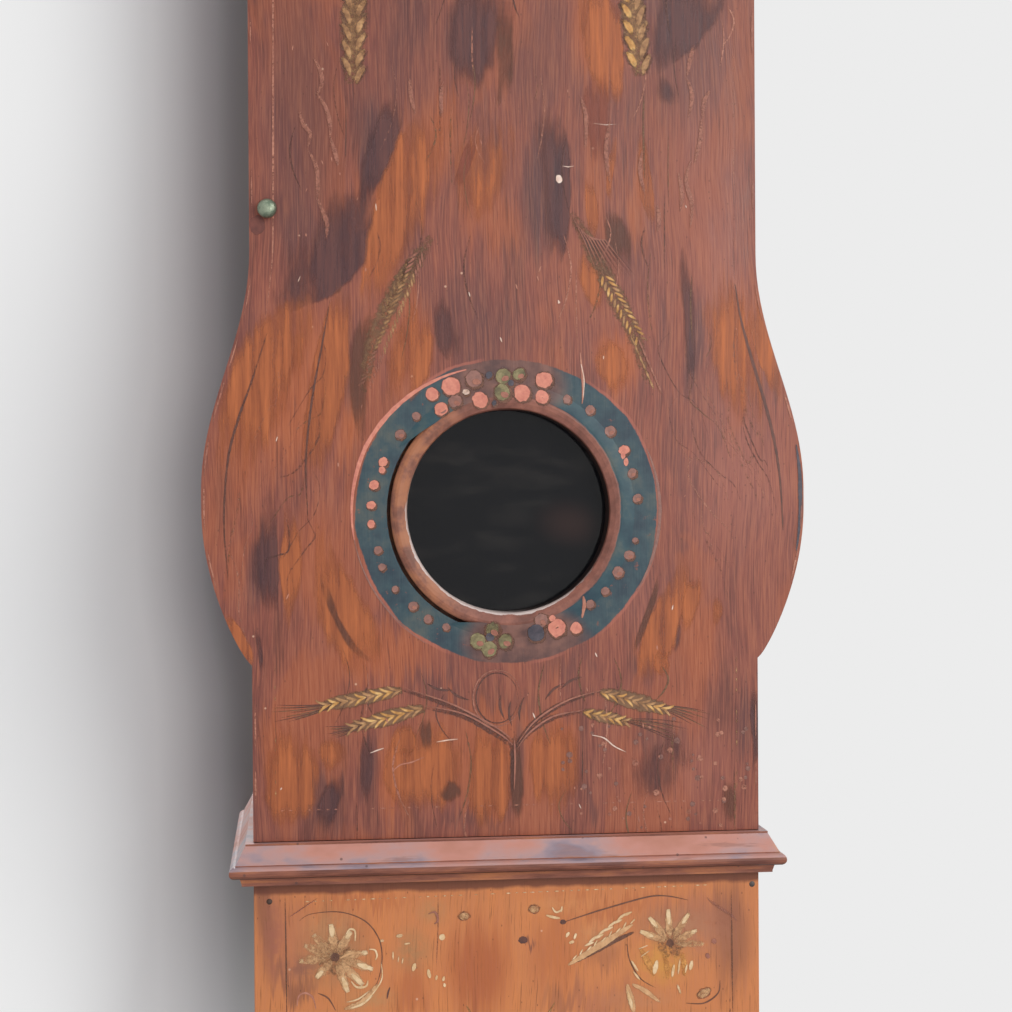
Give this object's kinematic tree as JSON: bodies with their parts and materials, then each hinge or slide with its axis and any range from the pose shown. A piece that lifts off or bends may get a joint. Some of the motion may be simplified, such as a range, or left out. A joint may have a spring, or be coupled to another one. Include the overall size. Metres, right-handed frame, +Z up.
{
  "type": "longcase clock",
  "caption": "Provincial longcase clock in painted pine: violin-shaped trunk door with a round window, glazed hood, weight-driven cage movement, long pendulum and strike on a bell.",
  "frame": {"origin": "centre of the footprint, on the floor under the foot moulding", "axes": "+Z up, the dial and the trunk door face -Y, +X to the right seen from the front"},
  "size_m": [0.484, 0.3, 2.2752],
  "materials": {
    "case_boards": "worn satin paint over pine",
    "plinth_paint": "grained and painted pine, old varnish",
    "door_paint": "grained and painted pine, old varnish",
    "bare_wood": "old unfinished pine",
    "moulding_paint": "worn gloss paint over pine",
    "bezel_paint": "worn brown paint on turned wood",
    "dark_glass": "old dark glass",
    "clear_glass": "clear",
    "knob_brass": "aged, greenish",
    "black_iron": "forged, dark",
    "steel": "filed and polished",
    "wheel_brass": "cut and polished",
    "drum_wood": "turned beech",
    "surround_brass": "embossed sheet",
    "bob_brass": "dark, tarnished",
    "bell_bronze": "cast",
    "enamel": "white enamel",
    "hand_steel": "blackened",
    "cord": "twisted gut"
  },
  "bodies": {
    "case": {"side_left": "case_boards", "side_right": "case_boards", "back_planks": "bare_wood", "plinth_front": "plinth_paint", "plinth_floor": "bare_wood", "foot_moulding": "moulding_paint", "waist_moulding": "moulding_paint", "head_rail": "case_boards", "neck_moulding": "moulding_paint", "seat_board": "bare_wood", "hood_sides": "case_boards", "hood_roof": "bare_wood", "cornice": "moulding_paint", "crest": "case_boards", "hood_side_glass": "clear_glass", "fixed_hinge_leaves": "black_iron", "movement_cage": "black_iron", "pivot_strips": "steel", "dial_plate": "black_iron", "enamel_dial": "enamel", "brass_surround": "surround_brass", "suspension_cock": "wheel_brass", "bell_stand": "steel", "bell": "bell_bronze"},
    "trunk_door": {"trunk_door": "door_paint", "door_battens": "bare_wood", "window_bezel": "bezel_paint", "window_glass": "dark_glass", "door_hinge_leaves": "black_iron"},
    "door_latch": {"door_knob": "knob_brass", "latch_tongue": "black_iron"},
    "hood_door": {"hood_door_frame": "case_boards", "hood_glass": "clear_glass", "hood_hinge_leaves": "black_iron"},
    "hood_latch": {"hood_latch": "knob_brass"},
    "pendulum": {"pendulum_rod": "steel", "pendulum_bob": "bob_brass", "rating_nut": "wheel_brass", "suspension_spring": "steel"},
    "anchor": {"anchor": "steel"},
    "minute_works": {"cannon_pinion": "wheel_brass", "minute_hand": "hand_steel"},
    "hour_works": {"hour_wheel": "wheel_brass", "hour_hand": "hand_steel"},
    "minute_wheel": {"minute_wheel": "wheel_brass"},
    "third_wheel": {"third_wheel": "wheel_brass"},
    "centre_wheel": {"centre_wheel": "wheel_brass"},
    "escape_wheel": {"escape_wheel": "wheel_brass"},
    "going_great_wheel": {"going_great_wheel": "wheel_brass"},
    "going_weight": {"going_weight": "black_iron", "going_cord": "cord"},
    "going_drum": {"going_drum": "drum_wood"},
    "strike_weight": {"strike_weight": "black_iron", "strike_cord": "cord"},
    "strike_drum": {"strike_drum": "drum_wood"},
    "warning_wheel": {"warning_wheel": "wheel_brass"},
    "pin_wheel": {"pin_wheel": "wheel_brass"},
    "strike_great_wheel": {"strike_great_wheel": "wheel_brass"},
    "fly": {"fly": "wheel_brass"},
    "hammer": {"hammer": "steel"}
  },
  "joints": [
    {"name": "trunk_door_swing", "type": "hinge", "parent": "case", "child": "trunk_door", "pos_m": [0.205, -0.09, 0.4626], "axis": [0, 0, 1], "range_deg": [0, 90]},
    {"name": "door_latch_turn", "type": "hinge", "parent": "trunk_door", "child": "door_latch", "pos_m": [-0.186, 0, 0.9531], "axis": [0, 1, 0], "range_deg": [-90, 0]},
    {"name": "hood_door_swing", "type": "hinge", "parent": "case", "child": "hood_door", "pos_m": [0.219, -0.104, 1.6552], "axis": [0, 0, 1], "range_deg": [0, 100]},
    {"name": "hood_latch_turn", "type": "hinge", "parent": "hood_door", "child": "hood_latch", "pos_m": [-0.184, 0, 1.8452], "axis": [0, 1, 0], "range_deg": [-90, 0]},
    {"name": "pendulum_swing", "type": "hinge", "parent": "case", "child": "pendulum", "pos_m": [0, 0, 1.9442], "axis": [0, 1, 0], "range_deg": [-3, 3]},
    {"name": "anchor_rock", "type": "hinge", "parent": "case", "child": "anchor", "pos_m": [0, 0, 1.9442], "axis": [0, 1, 0], "range_deg": [-3, 3]},
    {"name": "minute_turn", "type": "hinge", "parent": "case", "child": "minute_works", "pos_m": [0, 0, 1.8342], "axis": [0, 1, 0], "continuous": true},
    {"name": "hour_turn", "type": "hinge", "parent": "case", "child": "hour_works", "pos_m": [0, 0, 1.8342], "axis": [0, 1, 0], "continuous": true},
    {"name": "minute_wheel_turn", "type": "hinge", "parent": "case", "child": "minute_wheel", "pos_m": [-0.01414, 0, 1.82006], "axis": [0, 1, 0], "continuous": true},
    {"name": "third_wheel_turn", "type": "hinge", "parent": "case", "child": "third_wheel", "pos_m": [0.00773, 0, 1.87487], "axis": [0, 1, 0], "continuous": true},
    {"name": "centre_wheel_turn", "type": "hinge", "parent": "case", "child": "centre_wheel", "pos_m": [0, 0, 1.8342], "axis": [0, 1, 0], "continuous": true},
    {"name": "escape_wheel_turn", "type": "hinge", "parent": "case", "child": "escape_wheel", "pos_m": [0, 0, 1.9132], "axis": [0, 1, 0], "continuous": true},
    {"name": "going_great_wheel_turn", "type": "hinge", "parent": "case", "child": "going_great_wheel", "pos_m": [0.045, 0, 1.7873], "axis": [0, 1, 0], "continuous": true},
    {"name": "going_weight_fall", "type": "slide", "parent": "case", "child": "going_weight", "axis": [0, 0, 1], "range_m": [-1.25, 0], "deforming": ["going_cord"]},
    {"name": "going_drum_turn", "type": "hinge", "parent": "case", "child": "going_drum", "pos_m": [0.045, 0, 1.7873], "axis": [0, 1, 0], "range_deg": [-1, 4166]},
    {"name": "strike_weight_fall", "type": "slide", "parent": "case", "child": "strike_weight", "axis": [0, 0, 1], "range_m": [-1.25, 0], "deforming": ["strike_cord"]},
    {"name": "strike_drum_turn", "type": "hinge", "parent": "case", "child": "strike_drum", "pos_m": [-0.045, 0, 1.7873], "axis": [0, 1, 0], "range_deg": [-4166, 1]},
    {"name": "warning_wheel_turn", "type": "hinge", "parent": "case", "child": "warning_wheel", "pos_m": [-0.04745, 0, 1.88089], "axis": [0, 1, 0], "continuous": true},
    {"name": "pin_wheel_turn", "type": "hinge", "parent": "case", "child": "pin_wheel", "pos_m": [-0.06182, 0, 1.85008], "axis": [0, 1, 0], "continuous": true},
    {"name": "strike_great_wheel_turn", "type": "hinge", "parent": "case", "child": "strike_great_wheel", "pos_m": [-0.045, 0, 1.7873], "axis": [0, 1, 0], "continuous": true},
    {"name": "fly_turn", "type": "hinge", "parent": "case", "child": "fly", "pos_m": [-0.0573, 0, 1.90796], "axis": [0, 1, 0], "continuous": true},
    {"name": "hammer_lift", "type": "hinge", "parent": "case", "child": "hammer", "pos_m": [-0.092, 0, 1.9052], "axis": [0, 1, 0], "range_deg": [-14, 0]}
  ],
  "couplings": [
    {"joint": "anchor_rock", "follows": "pendulum_swing", "ratio": 1},
    {"joint": "hour_turn", "follows": "minute_turn", "ratio": 0.083333},
    {"joint": "minute_wheel_turn", "follows": "minute_turn", "ratio": -0.33333},
    {"joint": "escape_wheel_turn", "follows": "third_wheel_turn", "ratio": -7.5},
    {"joint": "centre_wheel_turn", "follows": "third_wheel_turn", "ratio": -0.125},
    {"joint": "going_great_wheel_turn", "follows": "third_wheel_turn", "ratio": 0.010417},
    {"joint": "going_drum_turn", "follows": "going_weight_fall", "rad_per_m": -58.14},
    {"joint": "strike_drum_turn", "follows": "strike_weight_fall", "rad_per_m": 58.14},
    {"joint": "fly_turn", "follows": "warning_wheel_turn", "ratio": -7},
    {"joint": "pin_wheel_turn", "follows": "warning_wheel_turn", "ratio": -0.13333},
    {"joint": "strike_great_wheel_turn", "follows": "warning_wheel_turn", "ratio": 0.011111}
  ]
}
